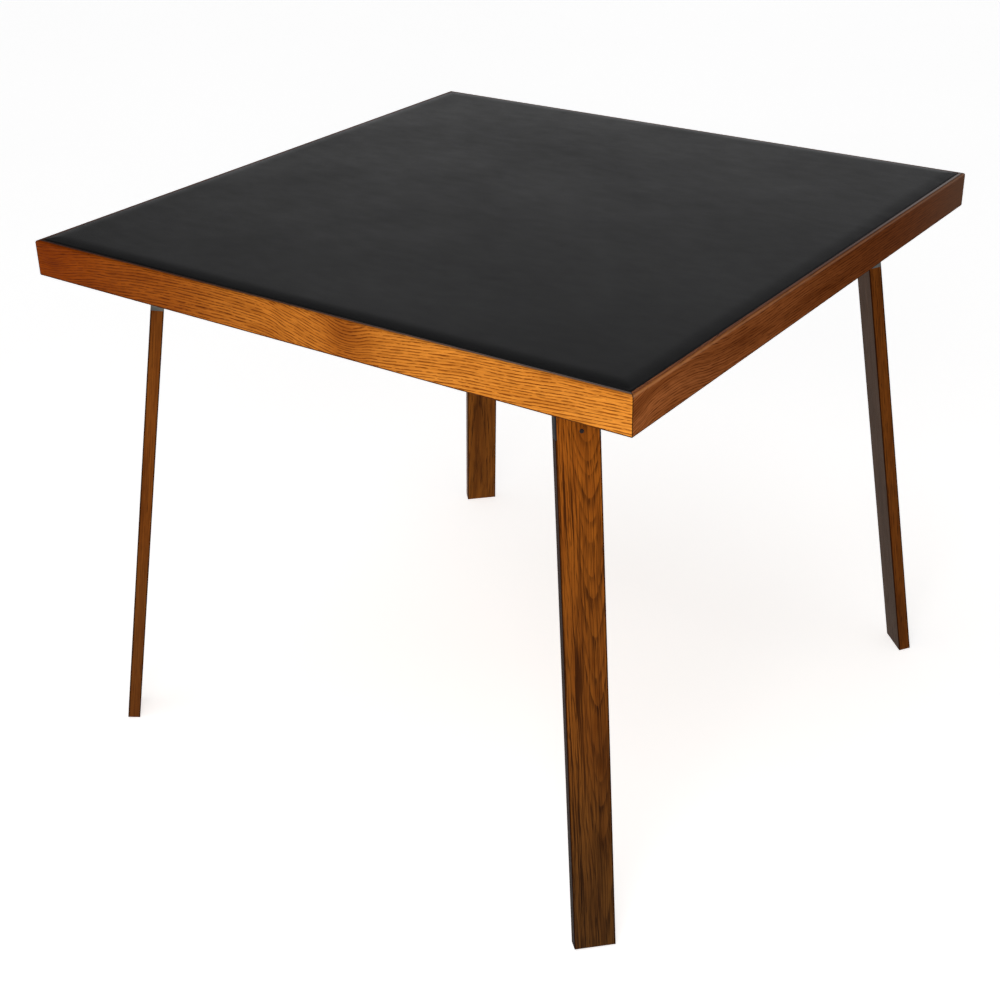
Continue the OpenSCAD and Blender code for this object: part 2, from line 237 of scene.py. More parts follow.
# ---------------------------------------------------------------- wood
def oak(name, place, light, mid, dark, pore, path, path_range, depth, ring, a=0.8, b=0.012, v0=0.1, c=0.9, seed=0.0,
        wob=1.0, tone=None, tone_colour=None, spots=(), early=0.6, pores=0.9, streak=0.85, rough=0.38, seam=None, spec=0.05,
        patch=0.4, edge=None, back=None, side=None, lip=None, shine=None, fleck=(34.0, 560.0, 0.515, 0.59), runs=(42.0, 520.0),
        rows=None, long=None, uneven=1.1, lacquer=None, worn=None, greyer_toward_end=None):
    """Stained open-pored oak cut from a log. path bends the grain across the board, depth moves it through the rings."""
    rot, loc = place
    m = Mat(name, Specular_IOR_Level=spec, Specular_Tint=(1.0, 0.55, 0.05, 1.0), Coat_Roughness=0.14)
    u, v, w = m.split(m.coords(rot, loc))
    us = m.add(u, seed)
    # slow and quick bends of the grain
    slow = m.sub(m.noise(m.join(m.mul(us, 7.0), m.mul(v, 22.0), m.mul(w, 22.0)), 1.0, 2.0, 0.5), 0.5)
    quick = m.sub(m.noise(m.join(m.mul(us, 55.0), m.mul(v, 130.0), m.mul(w, 130.0)), 1.0, 2.0, 0.6), 0.5)
    v1 = m.total(v, m.mul(slow, 0.010 * wob), m.mul(quick, 0.0019 * wob))
    if path:
        v1 = m.sub(v1, m.curve(u, *path_range, path))
    for (su, sv, ru, rv, lift) in spots:
        d = m.math("EXPONENT", m.mul(m.add(m.math("POWER", m.mul(m.sub(u, su), 1 / ru), 2.0),
                                          m.math("POWER", m.mul(m.sub(v, sv), 1 / rv), 2.0)), -1.0))
        v1 = m.add(v1, m.mul(d, lift))
    # growth rings
    across = m.mul(m.sub(v1, v0), a)
    bow = m.math("SQRT", m.add(m.mul(across, across), b * b))
    through = m.curve(u, *path_range, depth) if depth else 0.0
    r = m.total(m.mul(w, c), bow, through)
    phase = m.add(m.mul(r, 1 / ring), m.mul(m.noise1(m.add(r, seed * 0.37), 190.0, 1.0), uneven))
    t = m.math("FRACT", phase)
    which = m.math("FLOOR", phase)
    each = m.node("TexWhiteNoise", {"W": m.add(which, seed)}, noise_dimensions="1D").outputs["Value"]
    early_mask = m.ramp(t, [(0.0, 0.15), (0.05, 1.0), (0.22, 0.85), (0.5, 0.22), (0.82, 0.03), (1.0, 0.15)], "B_SPLINE")
    early_mask = m.mul(early_mask, m.step(each, 0.0, 1.0, 0.55, 1.0, "LINEAR"))
    # broken bands, pores and fibres
    dash = m.noise(m.join(m.mul(us, runs[0]), m.mul(v1, runs[1]), m.mul(w, runs[1])), 1.0, 2.0, 0.55)
    dash = m.step(dash, 0.40, 0.62)
    line = m.noise(m.join(m.mul(us, 48.0), m.mul(v1, 1150.0), m.mul(w, 1150.0)), 1.0, 1.0, 0.4)
    line = m.step(line, 0.52, 0.66)
    fibre = m.noise(m.join(m.mul(us, 12.0), m.mul(v1, 520.0), m.mul(w, 520.0)), 1.0, 4.0, 0.62)
    broad = m.noise(m.join(m.mul(us, 4.5), m.mul(v1, 36.0), m.mul(w, 36.0)), 1.0, 3.0, 0.55)
    base = m.mix(m.step(m.add(m.mul(fibre, 0.55), m.mul(broad, 0.45)), 0.36, 0.64), light, mid)
    base = m.mix(m.mul(m.step(broad, 0.5, 0.72), patch), base, dark)
    band = m.mul(m.mul(early_mask, m.add(m.mul(dash, 0.75), 0.25)), early)
    if long is not None:
        # beside the arches the board is cut along its fibres: the arches fade into long straight streaks
        sideways = m.step(m.add(v, m.mul(slow, 0.012)), long[0], long[1])
        band = m.mul(band, m.add(m.mul(sideways, 0.85), 0.15))
        straight = m.noise(m.join(m.mul(us, 5.0), m.mul(v1, 430.0), m.mul(w, 430.0)), 1.0, 2.0, 0.6)
        straight = m.mul(m.step(straight, 0.50, 0.60), m.add(m.mul(sideways, long[3] - long[2]), long[2]))
        band = m.math("MAXIMUM", band, straight)
    col = m.mix(band, base, dark)
    if rows is not None:
        # open pores stand in rows, one row to a ring, broken into dashes
        row = m.ramp(t, [(0.0, 0.3), (0.08, 1.0), (0.26, 0.9), (0.44, 0.0), (0.94, 0.0), (1.0, 0.3)], "LINEAR")
        broken = m.noise(m.join(m.mul(us, rows[1]), m.add(m.mul(which, 3.7), m.mul(v1, 240.0)), m.mul(w, 240.0)), 1.0, 2.0, 0.6)
        row = m.mul(row, m.step(broken, rows[2], rows[2] + 0.14))
        amount = m.curve(u, *path_range, rows[0]) if isinstance(rows[0], list) else rows[0]
        col = m.mix(m.mul(row, amount), col, dark)
    # short dark flecks, as long as a finger is wide
    flecks = m.noise(m.join(m.mul(us, fleck[0]), m.mul(v1, fleck[1]), m.mul(w, fleck[1])), 1.0, 1.2, 0.5)
    flecks = m.mul(m.step(flecks, fleck[2], fleck[3]), m.add(m.mul(early_mask, 0.45), 0.55))
    amount = m.curve(u, *path_range, streak) if isinstance(streak, list) else streak
    col = m.mix(m.mul(flecks, amount), col, dark)
    holes = m.mul(line, m.add(m.mul(early_mask, 0.85), 0.15))
    col = m.mix(m.mul(holes, pores), col, pore)
    # painted light and shade: tone darkens or tints the board along its length; this is partly the stain and partly
    # light and shade painted into the colour
    if tone is not None:
        col = m.mix(m.curve(u, *path_range, tone), col, m.mix(1.0, col, tone_colour, "MULTIPLY"))
    for (su, sv, ru, rv, lift) in spots:
        d = m.math("EXPONENT", m.mul(m.add(m.math("POWER", m.mul(m.sub(u, su), 1 / ru), 2.0),
                                          m.math("POWER", m.mul(m.sub(v, sv), 1 / rv), 2.0)), -1.0))
        col = m.mix(m.mul(d, 0.55), col, m.mix(1.0, col, (0.52, 0.40, 0.36), "MULTIPLY"))
    # the board is drawn lighter and greyer toward one end
    if greyer_toward_end is not None:
        col = m.mix(m.curve(u, *path_range, greyer_toward_end[0]), col, greyer_toward_end[1])
    dull = 0.0
    if back is not None:
        # painted shade: the leg's inner wide face is painted darker and greyer, as the shade it lies in
        inner = m.mul(m.step(w, -LEG_T + 0.0002, -LEG_T + 0.0009, 1.0, 0.0), m.step(m.math("ABSOLUTE", v), 0.0243, 0.0249, 1.0, 0.0))
        col = m.mix(m.mul(inner, back[0]), col, m.mix(m.step(fibre, 0.3, 0.7), back[1], back[2]))
    if worn is not None:
        # the top arris is painted lighter: partly worn wood, partly a painted highlight on the rounded edge
        worn_and_lit_arris = m.math("MAXIMUM", m.sub(0.023, v), m.mul(w, -1.0))
        col = m.mix(m.mul(m.step(worn_and_lit_arris, 0.0010, 0.0030, 1.0, 0.0), m.curve(u, *path_range, worn[0])), col, worn[1])
    if side is not None:
        # painted shade: the narrow face is painted near black, partly a darker stain and partly the shade that face
        # lies in
        narrow = m.step(m.mul(v, side[0]), 0.0243, 0.0249)
        col = m.mix(m.mul(narrow, side[1]), col, m.mix(m.step(fibre, 0.3, 0.7), side[2], side[3]))
        dull = m.mul(narrow, 0.93)
    if lip is not None:
        col = m.mix(m.mul(m.step(v, 0.0190, 0.0215), lip), col, m.mix(m.step(fibre, 0.3, 0.7), pore, (0.020, 0.009, 0.005)))
    if edge is not None:
        # painted shade: the arrises are painted darker, as the shade along the rounded edges
        from_side = m.sub(edge[0], m.math("ABSOLUTE", v) if edge[2] else m.mul(v, -1.0))
        from_face = m.math("MINIMUM", m.mul(w, -1.0), m.add(w, edge[1]))
        off = m.math("MAXIMUM", from_side, from_face)
        ragged = m.mul(m.sub(m.noise(m.join(m.mul(us, 120.0), m.mul(v, 300.0), m.mul(w, 300.0)), 1.0, 2.0, 0.6), 0.5), 0.0012)
        painted_arris_shade = m.step(m.add(off, ragged), 0.0006 + edge[4], 0.0017 + edge[4], 1.0, 0.0)
        col = m.mix(m.mul(painted_arris_shade, edge[3]), col, tuple(c * 0.5 for c in pore))
        dull = m.math("MAXIMUM", m.mul(painted_arris_shade, 0.8), dull)
        m.set(Specular_IOR_Level=m.mul(m.sub(1.0, dull), spec))
    if seam is not None:
        x, y, z = m.split(m.coords())
        gap = m.math("ABSOLUTE", m.sub(m.math("ABSOLUTE", x), m.math("ABSOLUTE", y)))
        ragged = m.mul(m.noise(m.join(m.mul(x, 900.0), m.mul(y, 900.0), m.mul(z, 700.0)), 1.0, 2.0, 0.6), 0.0011)
        dirt = m.sub(1.0, m.step(m.sub(gap, ragged), 0.0, 0.00035))
        col = m.mix(m.mul(dirt, seam), col, (0.02, 0.008, 0.004))
    if shine is not None:
        # lacquer is thicker and glossier on the rounded top arris
        top = m.math("MAXIMUM", m.sub(shine[0], v), m.mul(w, -1.0))
        tip = m.add(m.mul(m.step(m.math("ABSOLUTE", u), 0.4235, 0.4300), shine[2]), shine[1])
        coat = m.mul(m.step(top, 0.0012, 0.0030, 1.0, 0.0), tip)
        if lacquer is not None:
            lip_face = m.mul(m.step(v, 0.0215, 0.0226), m.step(m.mul(w, -1.0), 0.0022, 0.0040))
            coat = m.math("MAXIMUM", coat, m.mul(lip_face, m.curve(u, *path_range, lacquer)))
            if worn is None:
                # painted shade: the lip beside the pad is painted near black, as the shaded gap at the pad's edge
                col = m.mix(m.mul(lip_face, 0.85), col, (0.016, 0.015, 0.015))
        m.set(Coat_Weight=coat)
    fine = m.noise(m.join(m.mul(us, 90.0), m.mul(v1, 2600.0), m.mul(w, 2600.0)), 1.0, 2.0, 0.5)
    height = m.total(m.mul(holes, -0.75), m.mul(flecks, -0.30), m.mul(band, -0.35), m.mul(fibre, 0.25), m.mul(fine, 0.12))
    if rows is not None:
        height = m.add(height, m.mul(row, -0.35))
    m.set(Base_Color=col, Normal=m.bump(height, 0.00022, 0.75),
          Roughness=m.total(rough, m.mul(holes, 0.22), m.mul(m.sub(fibre, 0.5), 0.16), m.mul(m.sub(broad, 0.5), 0.10)))
    return m.m


def make_woods():
    span = (-0.45, 0.45)
    gold = dict(light=(0.880, 0.325, 0.044), mid=(0.715, 0.240, 0.026), dark=(0.200, 0.038, 0.002), pore=(0.085, 0.013, 0.001),
                edge=(0.023, 0.019, False, 0.92, 0.0010), shine=(0.023, 0.12, 0.6))
    # the right rail is painted far darker than the front rail: partly a redder board, partly painted shade of the side
    # turned from the light
    red_and_shaded = dict(light=(0.355, 0.113, 0.032), mid=(0.270, 0.079, 0.019), dark=(0.085, 0.017, 0.003), pore=(0.045, 0.010, 0.003),
               edge=(0.023, 0.019, False, 0.85, 0.0008), shine=(0.023, 0.30, 0.4))
    front_path = [(-0.45, 0.0), (-0.40, 0.005), (-0.30, 0.019), (-0.15, 0.0295), (-0.08, 0.0290), (-0.02, 0.0185),
                  (0.04, 0.0050), (0.066, 0.0020), (0.10, 0.0055), (0.15, 0.0115), (0.25, 0.0215), (0.45, 0.036)]
    woods = {}
    woods["rail_front"] = oak(
        "oak_front", rail_frame(0), **gold, path=front_path, path_range=span, depth=None, ring=0.0028, v0=0.075, seed=3.1, uneven=0.45,
        # darker toward the left end and lighter toward the right: partly stain, partly painted light
        tone=[(-0.45, 1.0), (-0.37, 0.97), (-0.28, 0.87), (-0.18, 0.76), (-0.10, 0.52), (-0.04, 0.40), (0.02, 0.44), (0.062, 0.62),
              (0.12, 0.36), (0.24, 0.12), (0.36, 0.12), (0.42, 0.0), (0.45, 0.0)],
        tone_colour=(0.31, 0.145, 0.0), spots=[(0.066, 0.010, 0.024, 0.020, 0.006), (-0.404, -0.002, 0.016, 0.010, 0.004)],
        early=0.35, seam=0.9, wob=0.8, streak=0.30, patch=0.3, spec=0.025, lacquer=[(-0.45, 0.0), (-0.1, 0.05), (0.15, 0.40), (0.30, 0.80), (0.45, 1.0)],
        rows=([(-0.45, 0.34), (-0.30, 0.50), (-0.10, 0.85), (0.10, 0.80), (0.30, 0.86), (0.45, 0.80)], 78.0, 0.40))
    woods["rail_right"] = oak(
        "oak_right", rail_frame(90), **red_and_shaded, path=[(-0.45, -0.012), (-0.41, 0.0), (-0.37, 0.006), (-0.33, 0.004), (-0.27, -0.006), (-0.20, -0.012), (0.0, -0.014), (0.45, -0.010)],
        path_range=span, depth=None, ring=0.0027, v0=-0.09, seed=8.4, early=0.35, seam=0.9, streak=0.35, wob=0.8, rows=(0.55, 30.0, 0.40), uneven=0.6,
        tone=[(-0.45, 0.0), (-0.39, 0.05), (-0.28, 0.43), (-0.12, 0.57), (0.09, 0.92), (0.2, 1.0), (0.45, 1.0)],
        tone_colour=(0.40, 0.33, 0.27), spec=0.0,
        greyer_toward_end=([(-0.45, 0.0), (-0.2, 0.0), (0.0, 0.0), (0.10, 0.03), (0.216, 0.14), (0.265, 0.25), (0.315, 0.40), (0.367, 0.58), (0.403, 0.72), (0.45, 0.82)],
               (0.105, 0.056, 0.036)),
        lacquer=[(-0.45, 0.25), (0.0, 0.40), (0.3, 0.80), (0.45, 0.85)],
        # lighter top arris: partly wear, partly painted highlight
        worn=([(-0.45, 0.75), (-0.2, 0.45), (0.1, 0.30), (0.45, 0.25)], (0.520, 0.200, 0.060)))
    woods["rail_back"] = oak(
        "oak_back", rail_frame(180), **gold, path=[(-0.45, 0.0), (-0.1, 0.012), (0.2, 0.006), (0.45, 0.02)], path_range=span,
        depth=[(-0.45, 0.0), (0.0, 0.012), (0.45, 0.0)], ring=0.0031, v0=0.012, b=0.03, seed=14.2, early=0.4, seam=0.9, streak=0.35, wob=0.8, rows=(0.6, 70.0, 0.40), uneven=0.5, lip=0.9,
        tone=[(-0.45, 0.5), (0.0, 0.35), (0.45, 0.7)], tone_colour=(0.60, 0.42, 0.25))
    woods["rail_left"] = oak(
        "oak_left", rail_frame(270), **gold, path=[(-0.45, 0.02), (-0.2, 0.008), (0.1, 0.0), (0.45, 0.012)], path_range=span,
        depth=None, ring=0.0034, v0=-0.07, seed=21.7, early=0.4, seam=0.9, streak=0.35, wob=0.8, rows=(0.6, 70.0, 0.40), uneven=0.5, lip=0.9,
        tone=[(-0.45, 0.8), (0.0, 0.6), (0.45, 0.75)], tone_colour=(0.56, 0.38, 0.20))
    brown = dict(light=(0.440, 0.120, 0.010), mid=(0.310, 0.076, 0.007), dark=(0.065, 0.015, 0.003), pore=(0.030, 0.007, 0.002),
                 edge=(LEG_W / 2, LEG_T, True, 0.85, 0.0004))
    ls = (-0.03, 0.73)
    long = dict(fleck=(16.0, 620.0, 0.52, 0.61), runs=(20.0, 560.0))
    woods["leg_front_right"] = oak(
        "oak_leg_front_right", leg_frame("front_right"), **brown, **long, path=[(-0.03, -0.004), (0.15, 0.0), (0.35, 0.001), (0.73, 0.004)],
        path_range=ls, depth=[(-0.03, -0.016), (0.07, -0.006), (0.16, 0.0035), (0.30, 0.0135), (0.45, 0.0210), (0.60, 0.0285), (0.73, 0.032)],
        ring=0.0023, a=0.62, b=0.010, v0=0.0105, seed=5.5, wob=0.55, early=1.0, pores=0.8, patch=0.3, rough=0.40, streak=0.75,
        # narrow face painted near black, partly as painted shade
        long=(-0.012, 0.002, 0.95, 0.52), side=(-1.0, 0.93, (0.012, 0.008, 0.009), (0.022, 0.013, 0.012)),
        spots=[(0.345, 0.009, 0.012, 0.004, 0.0), (0.382, 0.012, 0.010, 0.004, 0.0), (0.423, 0.010, 0.014, 0.004, 0.0), (0.475, 0.013, 0.013, 0.004, 0.0), (0.57, 0.012, 0.020, 0.004, 0.0)],
        # darker and bluer toward the foot: partly stain, partly painted shade
        tone=[(-0.03, 0.15), (0.10, 0.2), (0.30, 0.47), (0.42, 0.62), (0.54, 0.85), (0.67, 0.98), (0.73, 1.0)], tone_colour=(0.25, 0.36, 1.0),
        spec=0.06)
    woods["leg_front_left"] = oak(
        "oak_leg_front_left", leg_frame("front_left"), **brown, **long, path=[(-0.03, 0.0), (0.73, 0.01)], path_range=ls,
        depth=[(-0.03, 0.0), (0.3, 0.010), (0.73, 0.018)], ring=0.0026, a=0.7, b=0.014, v0=-0.006, seed=33.0, wob=0.6,
        early=0.40, streak=0.15, pores=0.5, tone=[(-0.03, 0.85), (0.1, 0.85), (0.33, 0.75), (0.57, 1.0), (0.73, 1.0)], tone_colour=(0.36, 0.41, 0.95), spec=0.03)
    woods["leg_back_right"] = oak(
        "oak_leg_back_right", leg_frame("back_right"), **brown, **long, path=[(-0.03, 0.0), (0.4, 0.006), (0.73, 0.0)], path_range=ls,
        depth=[(-0.03, 0.0), (0.4, 0.016), (0.73, 0.024)], ring=0.0025, a=0.65, b=0.012, v0=0.004, seed=41.5, wob=0.6,
        early=0.5, streak=0.3, tone=[(-0.03, 0.9), (0.33, 0.95), (0.73, 1.0)], tone_colour=(0.36, 0.40, 0.75), spec=0.01,
        # painted shade on the inner face
        back=(0.9, (0.060, 0.037, 0.025), (0.037, 0.025, 0.017)))
    woods["leg_back_left"] = oak(
        "oak_leg_back_left", leg_frame("back_left"), **brown, **long, path=[(-0.03, 0.0), (0.3, -0.004), (0.73, 0.004)], path_range=ls,
        depth=[(-0.03, 0.020), (0.4, 0.008), (0.73, 0.0)], ring=0.0027, a=0.6, b=0.012, v0=0.008, seed=57.3, wob=0.6,
        early=0.6, streak=0.35, tone=[(-0.03, 1.0), (0.73, 1.0)], tone_colour=(0.47, 0.57, 1.0), spec=0.04)
    for corner, a in CORNERS.items():
        turn = Matrix.Rotation(-math.radians(a), 3, "Z")
        swap = Matrix(((0, 1, 0), (0, 0, 1), (1, 0, 0)))
        woods["brace_" + corner] = oak(
            "wood_brace_" + corner, (swap @ turn, Vector((0, -0.70, -0.46))), light=(0.34, 0.17, 0.065), mid=(0.26, 0.12, 0.042),
            dark=(0.16, 0.066, 0.022), pore=(0.07, 0.028, 0.010), path=[(-0.16, 0.0), (0.0, 0.004), (0.16, 0.0)], path_range=(-0.16, 0.16),
            depth=None, ring=0.0033, v0=0.06, seed=70.0 + a / 90, early=0.6, rough=0.55, spec=0.10)
    return woods


def plywood():
    """The board's bare underside: rotary-cut veneer, with the plies at its edge."""
    m = Mat("board_wood", Specular_IOR_Level=0.35)
    x, y, z = m.split(m.coords())
    slow = m.sub(m.noise(m.join(m.mul(x, 3.0), m.mul(y, 9.0), 0.0), 1.0, 3.0, 0.55), 0.5)
    v = m.add(y, m.mul(slow, 0.11))
    t = m.math("FRACT", m.mul(v, 42.0))
    band = m.ramp(t, [(0.0, 0.0), (0.55, 0.35), (0.9, 1.0), (1.0, 0.0)], "B_SPLINE")
    fibre = m.noise(m.join(m.mul(x, 10.0), m.mul(y, 700.0), m.mul(z, 700.0)), 1.0, 4.0, 0.62)
    broad = m.noise(m.join(m.mul(x, 2.0), m.mul(y, 5.0), 0.0), 1.0, 3.0, 0.5)
    col = m.mix(m.step(fibre, 0.3, 0.7), (0.52, 0.35, 0.19), (0.40, 0.245, 0.118))
    col = m.mix(m.mul(band, 0.42), col, (0.27, 0.145, 0.062))
    col = m.mix(m.step(broad, 0.42, 0.72, 0.0, 0.4), col, (0.33, 0.19, 0.09))
    pore = m.step(m.noise(m.join(m.mul(x, 40.0), m.mul(y, 1400.0), 0.0), 1.0, 1.0, 0.5), 0.58, 0.68)
    col = m.mix(m.mul(pore, 0.5), col, (0.12, 0.06, 0.028))
    ply = m.step(m.math("FRACT", m.mul(m.sub(z, BOARD_LOW), 1 / 0.0036)), 0.44, 0.56)
    col = m.mix(m.mul(ply, 0.18), col, (0.2, 0.11, 0.05))
    m.set(Base_Color=col, Roughness=m.step(fibre, 0.3, 0.7, 0.58, 0.72),
          Normal=m.bump(m.add(m.mul(fibre, 0.5), m.mul(pore, -0.6)), 0.00018, 0.6))
    return m.m


# ---------------------------------------------------------------- other materials
def vinyl():
    """Matt black upholstery vinyl with a fine pressed grain."""
    m = Mat("black_vinyl", Specular_IOR_Level=0.078, IOR=1.5)
    co = m.coords()
    warp = m.noise(co, 420.0, 2.0, 0.5, colour=True)
    n = m.node("Mix", data_type="VECTOR")
    m.put(n.inputs[0], 0.0009)
    m.put(n.inputs[4], co)
    m.put(n.inputs[5], warp)
    bent = n.outputs[1]
    cell = m.cells(bent, 1150.0, "SMOOTH_F1", 0.35)
    fold = m.cells(bent, 520.0, "DISTANCE_TO_EDGE")
    small = m.noise(co, 2600.0, 2.0, 0.6)
    cloud = m.noise(co, 7.0, 4.0, 0.55)
    worn = m.noise(m.coords(scale=(1.0, 2.2, 1.0), rot=Matrix.Rotation(0.5, 3, "Z")), 26.0, 4.0, 0.62)
    col = m.mix(m.step(cell, 0.15, 0.75), (0.0050, 0.0051, 0.0056), (0.0100, 0.0102, 0.0108))
    col = m.mix(m.step(cloud, 0.35, 0.7, 0.0, 0.30), col, (0.0160, 0.0160, 0.0168))
    height = m.total(m.mul(cell, 0.6), m.mul(m.step(fold, 0.0, 0.22), 0.45), m.mul(small, 0.22))
    rough = m.total(0.37, m.mul(m.sub(cloud, 0.5), 0.16), m.mul(m.sub(worn, 0.5), 0.12), m.mul(m.sub(cell, 0.4), 0.10))
    m.set(Base_Color=col, Roughness=rough, Normal=m.bump(height, 0.00006, 0.8))
    return m.m


def foam():
    m = Mat("foam_open_cell", Specular_IOR_Level=0.2)
    co = m.coords()
    cell = m.cells(co, 1500.0, "DISTANCE_TO_EDGE")
    stain = m.noise(co, 12.0, 3.0, 0.6)
    col = m.mix(m.step(cell, 0.02, 0.22), (0.40, 0.34, 0.20), (0.78, 0.72, 0.52))
    col = m.mix(m.step(stain, 0.45, 0.75, 0.0, 0.4), col, (0.62, 0.50, 0.28))
    m.set(Base_Color=col, Roughness=0.95, Normal=m.bump(m.step(cell, 0.0, 0.3), 0.0003, 1.0))
    return m.m


def steel(name, colour, shade, rough=0.36, streak=(40.0, 900.0, 900.0), rot=None, spangle=0.0, metal=1.0, stain=0.35, dull=None, **more):
    """Rolled sheet or turned steel: fine lines along one way, cloudy tarnish and small scratches."""
    m = Mat(name, Metallic=metal, **more)
    co = m.coords(rot)
    lines = m.noise(m.coords(scale=streak, of=co), 1.0, 3.0, 0.6)
    x, y, z = m.split(m.coords())
    cloud = m.noise(co, 55.0, 4.0, 0.62)
    speck = m.noise(co, 900.0, 2.0, 0.6)
    col = m.mix(m.step(cloud, 0.32, 0.72, 0.0, 1.0), colour, shade)
    if spangle:
        cell = m.node("TexVoronoi", {"Vector": co, "Scale": 260.0}, feature="F1")
        patch = m.node("TexWhiteNoise", {"Vector": cell.outputs["Position"]}, noise_dimensions="3D").outputs["Value"]
        col = m.mix(m.mul(patch, spangle), col, tuple(min(1.0, x * 1.25) for x in colour))
    col = m.mix(m.mul(m.step(speck, 0.56, 0.70), stain), col, tuple(x * 0.45 for x in shade))
    if dull is not None:
        # painted shade: the steel at this corner is painted darker, for the shade it lies in
        col = m.mix(m.step(m.sub(x, y), 0.45, 0.60, 0.0, dull), col, (0.012, 0.012, 0.016))
    r = m.total(rough, m.mul(m.sub(cloud, 0.5), 0.30), m.mul(m.sub(lines, 0.5), 0.22))
    height = m.add(m.mul(lines, 0.6), m.mul(speck, 0.3))
    m.set(Base_Color=col, Roughness=r, Normal=m.bump(height, 0.00004, 0.7))
    return m.m


def rubber():
    m = Mat("rubber", Specular_IOR_Level=0.3)
    co = m.coords()
    dust = m.noise(co, 240.0, 4.0, 0.65)
    fine = m.noise(co, 2200.0, 2.0, 0.6)
    col = m.mix(m.step(dust, 0.45, 0.75), (0.018, 0.018, 0.018), (0.045, 0.043, 0.040))
    m.set(Base_Color=col, Roughness=m.step(dust, 0.3, 0.8, 0.62, 0.82), Normal=m.bump(fine, 0.00006, 0.8))
    return m.m


def floor_material():
    m = Mat("floor", Specular_IOR_Level=0.1, Roughness=0.9)
    cloud = m.noise(m.coords(), 0.8, 3.0, 0.5)
    m.set(Base_Color=m.mix(m.step(cloud, 0.3, 0.7), (0.80, 0.80, 0.80), (0.82, 0.82, 0.82)))
    m.b.inputs["Emission Color"].default_value = (1, 1, 1, 1)
    m.b.inputs["Emission Strength"].default_value = 0.70
    return m.m


def wear(node, mat):
    """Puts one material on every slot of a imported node."""
    o = NODES[node]
    if not o.material_slots:
        o.data.materials.append(mat)
    for s in o.material_slots:
        s.material = mat


def soften(node, width, segments=2, angle=35):
    """Small rounded edges, as sanding, stamping or turning leaves them."""
    o = NODES[node]
    w = o.modifiers.new("weld", "WELD")
    w.merge_threshold = 2e-6
    b = o.modifiers.new("bevel", "BEVEL")
    b.width, b.segments, b.limit_method, b.angle_limit = width, segments, "ANGLE", math.radians(angle)
    b.use_clamp_overlap, b.harden_normals, b.miter_outer = True, False, "MITER_ARC"
    n = o.modifiers.new("normals", "WEIGHTED_NORMAL")
    n.keep_sharp = False
    n.weight = 80


# ---------------------------------------------------------------- mesh helpers
def new_object(name, verts, faces, smooth=True):
    me = bpy.data.meshes.new(name)
    me.from_pydata([tuple(map(float, v)) for v in verts], [], [tuple(map(int, f)) for f in faces])
    me.validate()
    me.update()
    if smooth:
        me.polygons.foreach_set("use_smooth", [True] * len(me.polygons))
    o = bpy.data.objects.new(name, me)
    scene.collection.objects.link(o)
    return o


def face_out(o):
    """Turns the faces of a closed mesh outwards."""
    bm = bmesh.new()
    bm.from_mesh(o.data)
    bmesh.ops.recalc_face_normals(bm, faces=bm.faces)
    bm.to_mesh(o.data)
    bm.free()


def ramp01(x, lo, hi):
    t = np.clip((x - lo) / (hi - lo), 0.0, 1.0)
    return t * t * (3 - 2 * t)


def ring_place(x, y, d, rho, half):
    """Moves a point of the square ring at distance d from the middle onto a ring with round corners of radius rho."""
    ax, ay = abs(x), abs(y)
    s = d - min(ax, ay)
    if rho <= 0 or s >= rho:
        return x, y
    ang = math.radians(45) * (1 - s / rho)
    cx = d - rho
    px, py = cx + rho * math.cos(ang), cx + rho * math.sin(ang)
    if ay > ax:
        px, py = py, px
    return math.copysign(px, x), math.copysign(py, y)


INSETS = [0, .08, .2, .36, .56, .8, 1.1, 1.45, 1.9, 2.5, 3.4, 4.6, 6.0, 7.6, 9.4, 11.4, 13.6, 16, 18.6, 21.5, 25, 29, 33, 38, 44, 52]
INSETS = [i / 1000 for i in INSETS] + [0.062 + 0.0121 * k for k in range(30)]


def pad_lines(half):
    out = [half - i for i in INSETS if half - i > 0.006]
    return sorted([-p for p in out] + [0.0] + out)


def pad_height(x, y, half, top, edge_drop, thin=0.0):
    """Height of the stretched top: flat, with a shoulder that falls more and more steeply and a rolled edge."""
    ax, ay = abs(x), abs(y)
    o = half - max(ax, ay)
    roll = 0.0018
    q = min(o / roll, 1.0)
    rolled = (edge_drop - 0.0024) * (1 - math.sqrt(max(0.0, 1 - (1 - q) ** 2)))
    shoulder = 0.0024 * max(0.0, 1 - o / 0.021) ** 2
    corner = math.hypot(half - ax, half - ay)
    tight = 0.00055 * math.exp(-corner / 0.022) * min(o / 0.004, 1.0)
    fall = 0.0002 * (max(ax, ay) / half) ** 4
    wave = 0.00011 * (noise.noise(Vector((x * 5.1, y * 4.3, 2.0))) + 0.5 * noise.noise(Vector((x * 13.0, y * 11.0, 7.0))) - 0.9)
    along = ay if ax > ay else ax
    pull = 0.00010 * math.cos(2 * math.pi * along / 0.05) * math.exp(-o / 0.012) * min(o / 0.003, 1.0)
    return top - rolled - shoulder - tight - fall + wave + pull - thin


